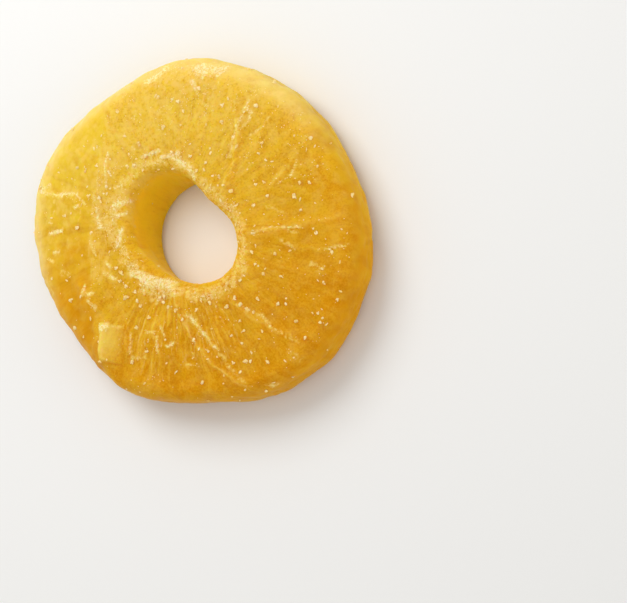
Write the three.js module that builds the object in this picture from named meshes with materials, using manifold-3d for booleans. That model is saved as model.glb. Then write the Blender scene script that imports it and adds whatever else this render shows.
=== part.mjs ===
import * as THREE from 'three';
import { mergeVertices } from 'three/addons/utils/BufferGeometryUtils.js';
import Module from 'manifold-3d';

// A candied, dried pineapple ring that lies flat with its sugared cut face up.
// Millimetres, +Z up. The origin is on the surface that the ring lies on, under the middle of its outline.
// Directions are degrees round +Z from +X, seen from above.

// The ring as a whole
const thickness = 12.6;
const outerRadius = 35.9;
const holeRadius = 10.9;

// Rounding of the cut section: how wide and how high each corner is. The shoulder at the top of the
// outer wall is wide towards one side of the ring and tight on the opposite side.
const shoulder = { wide: 6.0, tight: 3.0, high: 5.4, wideTowards: 130 };
const foot = { wide: 4.0, high: 3.6 };
const lip = { wide: 2.6, high: 2.4 };
const holeFoot = { wide: 1.4, high: 1.4 };

// Outline: the drying pulls the disc out of round, and each row of eyes leaves a soft scallop
const outlineWaves = [
  { lobes: 1, high: 0.51, towards: 333 },
  { lobes: 2, high: 2.13, towards: 161 },
  { lobes: 3, high: 0.68, towards: 186 },
  { lobes: 4, high: 0.78, towards: 165 },
  { lobes: 5, high: 0.45, towards: 170 },
  { lobes: 7, high: 0.24, towards: 150 },
];
const scallops = { count: 26, high: 0.1, slant: 0.9, drift: 1.6, unevenness: 0.5 };

// Hole: round below, drawn out to a rounded wedge at its mouth
const mouthWaves = [
  { lobes: 2, high: 2.4, towards: 143 },
  { lobes: 3, high: 0.5, towards: 104 },
];
const holeOffset = { below: [1.0, 0.0], above: [-0.3, 0.0] };

// Cut face: a slight fall to the rim, the broad slope of the peeled side towards -X,
// and a dished collar between that slope and the hole
const rimFall = { start: 0.5, drop: 0.9 };
const slope = { start: 19.5, curve: 0.004, run: 19.5, drop: 6.2, power: 1.2 };
const collar = { dip: 0.45, wide: 3.2, fadesAt: -8, fullAt: -15 };

// Broad ribs between the fruit's segments, and the furrows that they leave round the underside
const ribs = { count: 15, high: 0.16, drift: 1.7, start: 14, full: 24, rimFade: 0.85 };
const furrows = { count: 13, high: 0.7, drift: 1.3, start: 22 };

// Raised seams of tougher flesh across the face, each from a radius and direction near the hole
// to a radius and direction nearer the rim
const seamTaper = 0.15;
const seams = [
  { from: [12.5, 40], to: [27.5, 67], high: 0.75, wide: 1.5 },
  { from: [12.5, 38], to: [28.5, 51], high: 0.35, wide: 1.2 },
  { from: [21.5, 23], to: [29.0, 31], high: 0.55, wide: 1.3 },
  { from: [12.5, -3], to: [36.0, 5], high: 0.5, wide: 1.5 },
  { from: [27.5, -8], to: [36.0, -5], high: 0.4, wide: 1.2 },
  { from: [18.0, -50], to: [35.0, -38], high: 0.5, wide: 1.5 },
  { from: [12.0, -92], to: [34.5, -63], high: 0.8, wide: 1.5 },
  { from: [18.5, -104], to: [25.5, -97], high: 0.45, wide: 1.2 },
  { from: [21.5, -119], to: [27.5, -113], high: 0.4, wide: 1.2 },
  { from: [25.0, 166], to: [37.0, 168], high: 0.45, wide: 1.4 },
];

// Knots: small swellings of pulp on the face
const knots = [
  { at: [-22.0, -11.6], across: 3.4, high: 0.8 },
  { at: [-19.6, -14.0], across: 3.0, high: 0.7 },
  { at: [-21.8, -15.4], across: 2.6, high: 0.5 },
];

// Flap: a loosened block of pulp whose outer edge stands up from the face
const flap = {
  at: [-14.3, -23.0], long: 7.6, wide: 5.2, deep: 3.0,
  rise: 0.45, tilt: 8, corner: 1.1, bevel: 0.5,
};

// Sugar that has grown in lumps: the least and greatest half-width of a lump, and how many lie on
// the crust round the mouth, on the face and on the rim
const lump = { least: 0.5, greatest: 1.0 };
const lumps = { crust: 46, face: 52, rim: 16, seed: 41 };
const crustBand = { start: 0.3, narrow: 1.6, broader: 4.4, narrowTowards: 20 };
const faceLumpClear = 6;
const slopeLumpShare = 0.3;
const unevenSpacing = 0.8;

// How finely the surface is divided
const stepsRound = 112;
const steps = { under: 7, foot: 2, wall: 2, shoulder: 3, face: 12, lip: 2, holeWall: 3, holeFoot: 1 };

const fleshColour = 0xe0a92d;

const radians = THREE.MathUtils.degToRad;
const ease = (from, to, value) => THREE.MathUtils.smoothstep(value, from, to);

// The same draws every time, from 0 to 1: whole-number steps that wrap at 2 to the power 32
const drawStep = { times: 1664525, plus: 1013904223 };
const drawRange = 2 ** 32;
function drawsFrom(seed) {
  let state = seed;
  return () => {
    state = (Math.imul(state, drawStep.times) + drawStep.plus) >>> 0;
    return state / drawRange;
  };
}

// One wave round the ring that repeats a whole number of times
function wave(angle, { lobes, high, towards }) {
  return high * Math.cos(lobes * (angle - radians(towards)));
}

// Distance from the middle to the outer wall
function outlineAt(angle, height) {
  let radius = outerRadius;
  for (const one of outlineWaves) {
    radius += wave(angle, one);
  }
  const drift = scallops.drift * Math.sin(3 * angle) + scallops.slant * height / thickness;
  const strength = 1 + scallops.unevenness * Math.sin(2 * angle + 1);
  radius += strength * scallops.high * Math.cos(scallops.count * angle + drift);
  return radius;
}

// Distance from the middle to the wall of the hole
function holeAt(angle, height) {
  const up = ease(0, 1, height / thickness);
  const shiftX = THREE.MathUtils.lerp(holeOffset.below[0], holeOffset.above[0], up);
  const shiftY = THREE.MathUtils.lerp(holeOffset.below[1], holeOffset.above[1], up);
  let radius = holeRadius + shiftX * Math.cos(angle) + shiftY * Math.sin(angle);
  for (const one of mouthWaves) {
    radius += up * wave(angle, one);
  }
  return radius;
}

// Height that one seam adds at a place on the face
function seamAt(angle, radius, { from, to, high, wide }) {
  const along = (radius - from[0]) / (to[0] - from[0]);
  const bearing = radians(THREE.MathUtils.lerp(from[1], to[1], THREE.MathUtils.clamp(along, 0, 1)));
  const turned = Math.atan2(Math.sin(angle - bearing), Math.cos(angle - bearing));
  const aside = radius * turned / wide;
  const ends = ease(-seamTaper, seamTaper, along) * (1 - ease(1 - seamTaper, 1 + seamTaper, along));
  return high * ends * Math.exp(-aside * aside);
}

// Height that one knot adds
function knotAt(x, y, { at, across, high }) {
  const away = Math.hypot(x - at[0], y - at[1]) / (across / 2);
  return high * Math.exp(-away * away);
}

// Height of the cut face above the surface that the ring lies on
function faceHeight(angle, radius) {
  const x = radius * Math.cos(angle);
  const y = radius * Math.sin(angle);
  const rim = outlineAt(angle, thickness);
  let height = thickness;
  height -= rimFall.drop * ease(rimFall.start, 1, radius / rim);

  const slopeStart = slope.start - slope.curve * y * y;
  const beyond = Math.max(0, -x - slopeStart) / slope.run;
  height -= slope.drop * Math.pow(beyond, slope.power);

  const collarMiddle = (holeAt(angle, thickness) + slopeStart) / 2;
  const inCollar = (radius - collarMiddle) / collar.wide;
  height -= collar.dip * Math.exp(-inCollar * inCollar) * ease(-collar.fadesAt, -collar.fullAt, -x);

  const ribsFade = ease(ribs.start, ribs.full, radius) * (1 - ease(ribs.rimFade, 1, radius / rim));
  height += ribs.high * ribsFade * Math.cos(ribs.count * angle + ribs.drift * Math.sin(2 * angle));

  for (const one of seams) {
    height += seamAt(angle, radius, one);
  }
  for (const one of knots) {
    height += knotAt(x, y, one);
  }
  return height;
}

// Height of the furrows in the underside: they open towards the rim and leave flat feet between them
function furrowAt(angle, radius) {
  const across = Math.max(0, Math.cos(furrows.count * angle + furrows.drift * Math.sin(2 * angle)));
  return furrows.high * across * ease(furrows.start, outerRadius, radius);
}

// How far a point of the plain round ring lies from the hole to the rim, once its shoulder has the
// width that it has in that direction
function shareAcross(angle, radius) {
  const turned = (1 + Math.cos(angle - radians(shoulder.wideTowards))) / 2;
  const faceEnd = outerRadius - shoulder.wide;
  const movedEnd = outerRadius - THREE.MathUtils.lerp(shoulder.tight, shoulder.wide, turned);
  const moved = radius < faceEnd
    ? THREE.MathUtils.mapLinear(radius, holeRadius, faceEnd, holeRadius, movedEnd)
    : THREE.MathUtils.mapLinear(radius, faceEnd, outerRadius, movedEnd, outerRadius);
  return (moved - holeRadius) / (outerRadius - holeRadius);
}

// Moves a point of the plain round ring to its place on the real one
function fleshPoint(angle, radius, height) {
  const across = shareAcross(angle, radius);
  const reach = THREE.MathUtils.lerp(holeAt(angle, height), outlineAt(angle, height), across);
  const share = height / thickness;
  const lifted = share * faceHeight(angle, reach) + (1 - share) * furrowAt(angle, reach);
  return new THREE.Vector3(reach * Math.cos(angle), reach * Math.sin(angle), lifted);
}

// Section of the plain round ring, anticlockwise from the hole's foot, closed on itself
function section() {
  const path = new THREE.Path();
  const inner = holeRadius;
  const outer = outerRadius;
  const straight = (toRadius, toHeight, count) => {
    const from = path.currentPoint.clone();
    for (let step = 1; step <= count; step++) {
      path.lineTo(
        THREE.MathUtils.lerp(from.x, toRadius, step / count),
        THREE.MathUtils.lerp(from.y, toHeight, step / count),
      );
    }
  };
  const corner = (radius, height, { wide, high }, start, count) => {
    for (let step = 1; step <= count + 1; step++) {
      const turn = start + (Math.PI / 2) * step / (count + 1);
      path.lineTo(radius + wide * Math.cos(turn), height + high * Math.sin(turn));
    }
  };
  path.moveTo(inner + holeFoot.wide, 0);
  straight(outer - foot.wide, 0, steps.under);
  corner(outer - foot.wide, foot.high, foot, -Math.PI / 2, steps.foot);
  straight(outer, thickness - shoulder.high, steps.wall);
  corner(outer - shoulder.wide, thickness - shoulder.high, shoulder, 0, steps.shoulder);
  straight(inner + lip.wide, thickness, steps.face);
  corner(inner + lip.wide, thickness - lip.high, lip, Math.PI / 2, steps.lip);
  straight(inner, holeFoot.high, steps.holeWall);
  corner(inner + holeFoot.wide, holeFoot.high, holeFoot, Math.PI, steps.holeFoot);
  return path.getPoints(1);
}

// The ring of flesh: a turned ring, stood with its axis along +Z, then moved point by point
function fleshGeometry() {
  const geometry = new THREE.LatheGeometry(section(), stepsRound);
  geometry.rotateX(Math.PI / 2);
  const position = geometry.attributes.position;
  for (let index = 0; index < position.count; index++) {
    const x = position.getX(index);
    const y = position.getY(index);
    const moved = fleshPoint(Math.atan2(y, x), Math.hypot(x, y), position.getZ(index));
    position.setXYZ(index, moved.x, moved.y, moved.z);
  }
  return geometry;
}

// The flap: a block with rounded corners, sunk in the face and tipped so that its outer edge stands up
function flapGeometry() {
  const halfWide = flap.wide / 2 - flap.bevel;
  const halfLong = flap.long / 2 - flap.bevel;
  const outline = new THREE.Shape();
  outline.absarc(halfWide - flap.corner, halfLong - flap.corner, flap.corner, 0, Math.PI / 2);
  outline.absarc(flap.corner - halfWide, halfLong - flap.corner, flap.corner, Math.PI / 2, Math.PI);
  outline.absarc(flap.corner - halfWide, flap.corner - halfLong, flap.corner, Math.PI, 1.5 * Math.PI);
  outline.absarc(halfWide - flap.corner, flap.corner - halfLong, flap.corner, 1.5 * Math.PI, 2 * Math.PI);
  const geometry = new THREE.ExtrudeGeometry(outline, {
    depth: flap.deep - 2 * flap.bevel,
    curveSegments: 3,
    bevelThickness: flap.bevel,
    bevelSize: flap.bevel,
    bevelSegments: 1,
  });
  geometry.translate(0, 0, flap.rise - flap.deep + flap.bevel);
  geometry.rotateY(radians(flap.tilt));
  const [x, y] = flap.at;
  geometry.translate(x, y, faceHeight(Math.atan2(y, x), Math.hypot(x, y)));
  return geometry;
}

// One lump of sugar, half sunk where it has grown
function lumpGeometry(place, draw) {
  const size = () => THREE.MathUtils.lerp(lump.least, lump.greatest, draw());
  const geometry = new THREE.OctahedronGeometry(1);
  geometry.scale(size(), size(), size());
  geometry.rotateX(Math.PI * draw());
  geometry.rotateZ(Math.PI * draw());
  geometry.translate(place.x, place.y, place.z);
  return geometry;
}

// Lumps crusted round the mouth of the hole, in a band that is broad on the sloped side
function crustPlaces(draw) {
  const places = [];
  for (let index = 0; index < lumps.crust; index++) {
    const angle = 2 * Math.PI * (index + unevenSpacing * draw()) / lumps.crust;
    const turnedAway = (1 - Math.cos(angle - radians(crustBand.narrowTowards))) / 2;
    const broad = crustBand.narrow + crustBand.broader * turnedAway;
    places.push(fleshPoint(angle, holeRadius + lip.wide + crustBand.start + broad * draw(), thickness));
  }
  return places;
}

// Lumps strewn over the face in an even spiral, thinned out on the smooth sloped side
function facePlaces(draw) {
  const places = [];
  const goldenAngle = Math.PI * (3 - Math.sqrt(5));
  const nearest = holeRadius + faceLumpClear;
  const farthest = outerRadius - shoulder.wide;
  for (let index = 0; index < lumps.face; index++) {
    const angle = index * goldenAngle + unevenSpacing * draw();
    const share = (index + draw()) / lumps.face;
    const radius = Math.sqrt(THREE.MathUtils.lerp(nearest * nearest, farthest * farthest, share));
    const onSlope = -radius * Math.cos(angle) > slope.start;
    if (!onSlope || draw() < slopeLumpShare) {
      places.push(fleshPoint(angle, radius, thickness));
    }
  }
  return places;
}

// A few lumps on the rounded shoulder and the outer wall
function rimPlaces(draw) {
  const places = [];
  for (let index = 0; index < lumps.rim; index++) {
    const angle = 2 * Math.PI * (index + unevenSpacing * draw()) / lumps.rim;
    const turn = (Math.PI / 2) * draw();
    const radius = outerRadius - shoulder.wide * (1 - Math.cos(turn));
    const height = thickness - shoulder.high * (1 - Math.sin(turn));
    places.push(fleshPoint(angle, radius, height));
  }
  return places;
}

const wasm = await Module();
wasm.setup();

// A closed solid from a geometry, with shared corners merged
function solidFrom(geometry) {
  geometry.deleteAttribute('normal');
  geometry.deleteAttribute('uv');
  const merged = mergeVertices(geometry, 1e-4);
  return new wasm.Manifold(new wasm.Mesh({
    numProp: 3,
    vertProperties: new Float32Array(merged.attributes.position.array),
    triVerts: new Uint32Array(merged.index.array),
  }));
}

function geometryFrom(solid) {
  const mesh = solid.getMesh();
  const geometry = new THREE.BufferGeometry();
  geometry.setAttribute('position', new THREE.BufferAttribute(new Float32Array(mesh.vertProperties), 3));
  geometry.setIndex(new THREE.BufferAttribute(new Uint32Array(mesh.triVerts), 1));
  return geometry;
}

// Flesh, flap and lumps as one solid, its outline's middle over the origin
function ringGeometry() {
  const draw = drawsFrom(lumps.seed);
  let solid = solidFrom(fleshGeometry()).add(solidFrom(flapGeometry()));
  for (const place of [...crustPlaces(draw), ...facePlaces(draw), ...rimPlaces(draw)]) {
    solid = solid.add(solidFrom(lumpGeometry(place, draw)));
  }
  const geometry = geometryFrom(solid);
  geometry.computeBoundingBox();
  const middle = geometry.boundingBox.getCenter(new THREE.Vector3());
  geometry.translate(-middle.x, -middle.y, 0);
  geometry.computeVertexNormals();
  return geometry;
}

const fleshMaterial = new THREE.MeshStandardMaterial({ color: fleshColour, roughness: 0.5, metalness: 0 });
const pineappleRing = new THREE.Mesh(ringGeometry(), fleshMaterial);
pineappleRing.name = 'pineapple_ring';

const part = new THREE.Group();
part.name = 'candied_pineapple_ring';
part.add(pineappleRing);

export default part;
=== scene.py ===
import math

import bpy
import numpy as np
from mathutils import Matrix, Vector


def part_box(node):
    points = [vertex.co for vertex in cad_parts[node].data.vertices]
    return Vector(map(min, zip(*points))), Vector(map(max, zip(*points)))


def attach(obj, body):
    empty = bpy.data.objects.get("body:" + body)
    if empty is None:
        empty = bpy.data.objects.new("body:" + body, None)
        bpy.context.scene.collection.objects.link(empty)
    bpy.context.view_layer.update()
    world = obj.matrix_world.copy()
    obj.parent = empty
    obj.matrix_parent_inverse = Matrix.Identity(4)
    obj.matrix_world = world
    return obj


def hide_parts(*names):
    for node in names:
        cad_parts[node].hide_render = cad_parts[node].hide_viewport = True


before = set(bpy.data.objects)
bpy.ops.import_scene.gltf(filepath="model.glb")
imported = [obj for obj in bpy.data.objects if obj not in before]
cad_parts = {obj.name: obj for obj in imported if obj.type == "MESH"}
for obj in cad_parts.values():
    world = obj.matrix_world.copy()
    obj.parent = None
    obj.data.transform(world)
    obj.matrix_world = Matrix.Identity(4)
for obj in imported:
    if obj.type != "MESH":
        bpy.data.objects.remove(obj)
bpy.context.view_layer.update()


# The ring of flesh
# A thick slice of pineapple, peeled, cored, steeped in syrup and dried until it is translucent and leathery.
# One body: a plain round ring is bent to the slice's own outline, hole and sloped side, and then its surface
# gets the fibres, swellings and grain of the pulp, which run outwards from the core.

MM = 0.001

THICKNESS = 12.6
OUTER_RADIUS = 35.9
HOLE_RADIUS = 10.9

SHOULDER = {"wide": 6.0, "tight": 3.0, "high": 5.4, "wide_towards": 130}
FOOT = {"wide": 4.0, "high": 3.6}
LIP = {"wide": 2.6, "high": 2.4}
HOLE_FOOT = {"wide": 1.4, "high": 1.4}

# lobes round the ring, height, direction that a lobe faces
OUTLINE_WAVES = [(1, 0.51, 333), (2, 2.13, 161), (3, 0.68, 186), (4, 0.78, 165), (5, 0.45, 170),
                 (7, 0.24, 150)]
SCALLOPS = {"count": 26, "high": 0.1, "slant": 0.9, "drift": 1.6, "unevenness": 0.5}
MOUTH_WAVES = [(2, 2.4, 143), (3, 0.5, 104)]
HOLE_OFFSET = {"below": 1.0, "above": -0.3}

RIM_FALL = {"start": 0.5, "drop": 0.9}
SLOPE = {"start": 19.5, "curve": 0.004, "run": 19.5, "drop": 6.2, "power": 1.2}
COLLAR = {"dip": 0.45, "wide": 3.2, "fades_at": -8, "full_at": -15}
RIBS = {"count": 15, "high": 0.16, "drift": 1.7, "start": 14, "full": 24, "rim_fade": 0.85}
FURROWS = {"count": 13, "high": 0.7, "drift": 1.3, "start": 22}

# raised seams of tougher flesh: radius and direction of each end; a low swelling with a sharp crest, which
# bends in a long and a short wave, in radians per millimetre
SEAM_TAPER = 0.15
SEAM_CREST = {"share": 0.4, "sharpness": 3.0, "crook": 0.22}
SEAM_BENDS = {"long": 1.1, "short": 2.7, "short_share": 0.6}
SEAMS = [
    {"start": (12.5, 40), "end": (27.5, 67), "high": 0.75, "wide": 1.5},
    {"start": (12.5, 38), "end": (28.5, 51), "high": 0.35, "wide": 1.2},
    {"start": (21.5, 23), "end": (29.0, 31), "high": 0.55, "wide": 1.3},
    {"start": (12.5, -3), "end": (36.0, 5), "high": 0.5, "wide": 1.5},
    {"start": (27.5, -8), "end": (36.0, -5), "high": 0.4, "wide": 1.2},
    {"start": (18.0, -50), "end": (35.0, -38), "high": 0.5, "wide": 1.5},
    {"start": (12.0, -92), "end": (34.5, -63), "high": 0.8, "wide": 1.5},
    {"start": (18.5, -104), "end": (25.5, -97), "high": 0.45, "wide": 1.2},
    {"start": (21.5, -119), "end": (27.5, -113), "high": 0.4, "wide": 1.2},
    {"start": (25.0, 166), "end": (37.0, 168), "high": 0.45, "wide": 1.4},
]
KNOTS = [
    {"at": (-22.0, -11.6), "across": 3.4, "high": 0.8},
    {"at": (-19.6, -14.0), "across": 3.0, "high": 0.7},
    {"at": (-21.8, -15.4), "across": 2.6, "high": 0.5},
]
FLAP = {"at": (-14.3, -23.0), "long": 7.6, "wide": 5.2, "rise": 0.45, "tilt": 8, "edge": 0.34, "crook": 0.22,
        "side_bends": 0.9, "end_bends": 0.8}

STEPS_ROUND = 480
STEPS = {"under": 40, "foot": 14, "wall": 12, "shoulder": 26, "face": 78, "lip": 12, "hole_wall": 14,
         "hole_foot": 4}


def ease(start, end, value):
    share = np.clip((value - start) / (end - start), 0, 1)
    return share * share * (3 - 2 * share)


def waves(angle, terms):
    total = 0
    for lobes, high, towards in terms:
        total = total + high * np.cos(lobes * (angle - math.radians(towards)))
    return total


def outline_at(angle, height):
    drift = SCALLOPS["drift"] * np.sin(3 * angle) + SCALLOPS["slant"] * height / THICKNESS
    strength = 1 + SCALLOPS["unevenness"] * np.sin(2 * angle + 1)
    scallop = strength * SCALLOPS["high"] * np.cos(SCALLOPS["count"] * angle + drift)
    return OUTER_RADIUS + waves(angle, OUTLINE_WAVES) + scallop


def hole_at(angle, height):
    up = ease(0, 1, height / THICKNESS)
    offset = HOLE_OFFSET["below"] + (HOLE_OFFSET["above"] - HOLE_OFFSET["below"]) * up
    return HOLE_RADIUS + offset * np.cos(angle) + up * waves(angle, MOUTH_WAVES)


def seam_at(angle, radius, seam, sharpness=1.0, crook=0.0):
    along = (radius - seam["start"][0]) / (seam["end"][0] - seam["start"][0])
    turn = seam["end"][1] - seam["start"][1]
    bearing = np.radians(seam["start"][1] + turn * np.clip(along, 0, 1))
    turned = np.arctan2(np.sin(angle - bearing), np.cos(angle - bearing))
    long_bend = np.sin(SEAM_BENDS["long"] * radius + seam["start"][1])
    short_bend = np.sin(SEAM_BENDS["short"] * radius + seam["end"][1])
    bent = crook * (long_bend + SEAM_BENDS["short_share"] * short_bend)
    aside = sharpness * (radius * turned + bent) / seam["wide"]
    ends = ease(-SEAM_TAPER, SEAM_TAPER, along) * (1 - ease(1 - SEAM_TAPER, 1 + SEAM_TAPER, along))
    return ends * np.exp(-aside * aside)


def slope_start_at(y):
    return SLOPE["start"] - SLOPE["curve"] * y * y


def plain_face_height(angle, radius):
    x = radius * np.cos(angle)
    y = radius * np.sin(angle)
    rim = outline_at(angle, THICKNESS)
    height = THICKNESS - RIM_FALL["drop"] * ease(RIM_FALL["start"], 1, radius / rim)
    slope_start = slope_start_at(y)
    beyond = np.maximum(0, -x - slope_start) / SLOPE["run"]
    height = height - SLOPE["drop"] * beyond ** SLOPE["power"]
    collar_middle = (hole_at(angle, THICKNESS) + slope_start) / 2
    in_collar = (radius - collar_middle) / COLLAR["wide"]
    collar_side = ease(-COLLAR["fades_at"], -COLLAR["full_at"], -x)
    height = height - COLLAR["dip"] * np.exp(-in_collar * in_collar) * collar_side
    fade = ease(RIBS["start"], RIBS["full"], radius) * (1 - ease(RIBS["rim_fade"], 1, radius / rim))
    height = height + RIBS["high"] * fade * np.cos(RIBS["count"] * angle + RIBS["drift"] * np.sin(2 * angle))
    for seam in SEAMS:
        swelling = (1 - SEAM_CREST["share"]) * seam_at(angle, radius, seam)
        crest = seam_at(angle, radius, seam, SEAM_CREST["sharpness"], SEAM_CREST["crook"])
        height = height + seam["high"] * (swelling + SEAM_CREST["share"] * crest)
    for knot in KNOTS:
        away = np.hypot(x - knot["at"][0], y - knot["at"][1]) / (knot["across"] / 2)
        height = height + knot["high"] * np.exp(-away * away)
    return height


def in_flap(x, y):
    edge = FLAP["edge"]
    aside = np.abs(x - FLAP["at"][0] - FLAP["crook"] * np.sin(FLAP["side_bends"] * (y - FLAP["at"][1])))
    along = np.abs(y - FLAP["at"][1] + FLAP["crook"] * np.sin(FLAP["end_bends"] * (x - FLAP["at"][0])))
    within_width = 1 - ease(FLAP["wide"] / 2 - edge, FLAP["wide"] / 2 + edge, aside)
    return within_width * (1 - ease(FLAP["long"] / 2 - edge, FLAP["long"] / 2 + edge, along))


def face_height(angle, radius):
    height = plain_face_height(angle, radius)
    x = radius * np.cos(angle)
    y = radius * np.sin(angle)
    middle_x, middle_y = FLAP["at"]
    middle = plain_face_height(math.atan2(middle_y, middle_x), math.hypot(middle_x, middle_y))
    top = middle + FLAP["rise"] - math.tan(math.radians(FLAP["tilt"])) * (x - middle_x)
    return height + in_flap(x, y) * np.maximum(0, top - height)


def furrow_at(angle, radius):
    across = np.maximum(0, np.cos(FURROWS["count"] * angle + FURROWS["drift"] * np.sin(2 * angle)))
    return FURROWS["high"] * across * ease(FURROWS["start"], OUTER_RADIUS, radius)


def share_across(angle, radius):
    turned = (1 + np.cos(angle - math.radians(SHOULDER["wide_towards"]))) / 2
    face_end = OUTER_RADIUS - SHOULDER["wide"]
    moved_end = OUTER_RADIUS - (SHOULDER["tight"] + (SHOULDER["wide"] - SHOULDER["tight"]) * turned)
    in_face = HOLE_RADIUS + (radius - HOLE_RADIUS) * (moved_end - HOLE_RADIUS) / (face_end - HOLE_RADIUS)
    in_shoulder = moved_end + (radius - face_end) * (OUTER_RADIUS - moved_end) / (OUTER_RADIUS - face_end)
    return (np.where(radius < face_end, in_face, in_shoulder) - HOLE_RADIUS) / (OUTER_RADIUS - HOLE_RADIUS)


def flesh_point(angle, radius, height):
    inner = hole_at(angle, height)
    reach = inner + share_across(angle, radius) * (outline_at(angle, height) - inner)
    share = height / THICKNESS
    lifted = share * face_height(angle, reach) + (1 - share) * furrow_at(angle, reach)
    return np.stack([reach * np.cos(angle), reach * np.sin(angle), lifted], -1)


def section():
    points = [(HOLE_RADIUS + HOLE_FOOT["wide"], 0.0)]

    def straight(to_radius, to_height, count):
        start = points[-1]
        for step in range(1, count + 1):
            share = step / count
            radius = start[0] + (to_radius - start[0]) * share
            points.append((radius, start[1] + (to_height - start[1]) * share))

    def corner(radius, height, size, start, count):
        for step in range(1, count + 2):
            turn = start + math.pi / 2 * step / (count + 1)
            points.append((radius + size["wide"] * math.cos(turn), height + size["high"] * math.sin(turn)))

    straight(OUTER_RADIUS - FOOT["wide"], 0.0, STEPS["under"])
    corner(OUTER_RADIUS - FOOT["wide"], FOOT["high"], FOOT, -math.pi / 2, STEPS["foot"])
    straight(OUTER_RADIUS, THICKNESS - SHOULDER["high"], STEPS["wall"])
    corner(OUTER_RADIUS - SHOULDER["wide"], THICKNESS - SHOULDER["high"], SHOULDER, 0.0, STEPS["shoulder"])
    straight(HOLE_RADIUS + LIP["wide"], THICKNESS, STEPS["face"])
    corner(HOLE_RADIUS + LIP["wide"], THICKNESS - LIP["high"], LIP, math.pi / 2, STEPS["lip"])
    straight(HOLE_RADIUS, HOLE_FOOT["high"], STEPS["hole_wall"])
    corner(HOLE_RADIUS + HOLE_FOOT["wide"], HOLE_FOOT["high"], HOLE_FOOT, math.pi, STEPS["hole_foot"])
    return np.array(points[:-1])


profile = section()
angles = np.arange(STEPS_ROUND) * 2 * math.pi / STEPS_ROUND
plain_angle, plain_radius = np.meshgrid(angles, profile[:, 0], indexing="ij")
plain_height = np.broadcast_to(profile[:, 1], plain_radius.shape)
spots = flesh_point(plain_angle, plain_radius, plain_height)

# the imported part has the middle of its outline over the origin
lowest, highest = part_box("pineapple_ring")
packed_middle = np.array([(lowest.x + highest.x) / 2, (lowest.y + highest.y) / 2]) / MM
to_packed = np.append(packed_middle - (spots.min((0, 1)) + spots.max((0, 1)))[:2] / 2, 0.0)

# Where sugar has dried on: a crust round the mouth of the hole, streaks along the ridge, strokes on the rest
CRUST = {"start": -0.6, "clear": 1.4, "rise": 2.0, "narrow": 2.2, "broader": 1.9, "fade": 1.4,
         "narrow_towards": 20, "ragged": 0.4}
CRUST_EDGE = [(5, 0.6, 30), (9, 0.5, 12), (23, 0.4, 3)]
RIDGE = {"inside": 2.6, "outside": 1.6, "collar": 7.0, "from_y": -9.0, "to_y": 19.0, "wander": 0.5,
         "starts_over": 3, "ends_over": 4}
RIDGE_BENDS = {"long": 0.62, "short": 1.55, "short_share": 0.7}
SEAM_LINE = 4.6
# strokes of dried sugar: column and row of each end in the photograph, half-width in mm, whiteness
BEVEL_STROKES = [
    ((40, 190), (50, 185), 0.6, 0.9), ((41, 193), (62, 196), 0.45, 0.85),
    ((62, 193), (77, 194), 0.45, 0.9), ((77, 196), (85, 204), 0.35, 0.7),
    ((50, 233), (62, 231), 0.5, 1.0), ((49, 223), (52, 223), 0.35, 0.8),
    ((54, 253), (59, 252), 0.5, 0.8), ((49, 260), (53, 261), 0.4, 0.8),
    ((74, 208), (78, 205), 0.45, 0.9), ((53, 212), (54, 212), 0.35, 0.7),
    ((54, 202), (56, 202), 0.35, 0.8), ((74, 181), (75, 180), 0.3, 0.7),
    ((80, 210), (77, 227), 0.5, 0.35), ((45, 280), (52, 294), 1.2, 0.25),
    ((62, 272), (69, 275), 0.8, 0.4),
]
RIDGE_STROKES = [
    ((108, 153), (105, 163), 0.4, 0.95), ((105, 166), (106, 178), 0.4, 0.85),
    ((98, 178), (97, 192), 0.4, 0.7), ((94, 196), (95, 199), 0.35, 0.9),
    ((96, 206), (99, 226), 0.3, 0.8), ((98, 228), (103, 227), 0.3, 1.0),
    ((106, 182), (106, 184), 0.35, 0.9), ((106, 262), (110, 268), 0.4, 0.9),
    ((104, 273), (115, 279), 0.5, 0.9), ((90, 242), (96, 256), 0.5, 0.6),
]
CRUST_STROKES = [
    ((142, 157), (159, 150), 0.5, 1.0), ((162, 157), (171, 155), 0.4, 1.0),
    ((174, 158), (178, 152), 0.45, 1.0), ((179, 161), (190, 169), 0.5, 1.0),
    ((191, 175), (193, 178), 0.4, 0.9), ((132, 147), (135, 150), 0.4, 0.7),
    ((115, 188), (121, 185), 0.5, 0.9), ((115, 206), (127, 201), 0.6, 1.0),
    ((118, 216), (125, 212), 0.45, 0.9), ((118, 243), (122, 229), 0.45, 0.9),
    ((129, 225), (132, 217), 0.35, 0.7), ((133, 273), (142, 277), 0.6, 0.9),
    ((143, 279), (172, 283), 0.9, 0.85), ((137, 282), (180, 289), 2.2, 0.12),
    ((190, 282), (212, 272), 0.5, 0.8),
]
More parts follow.
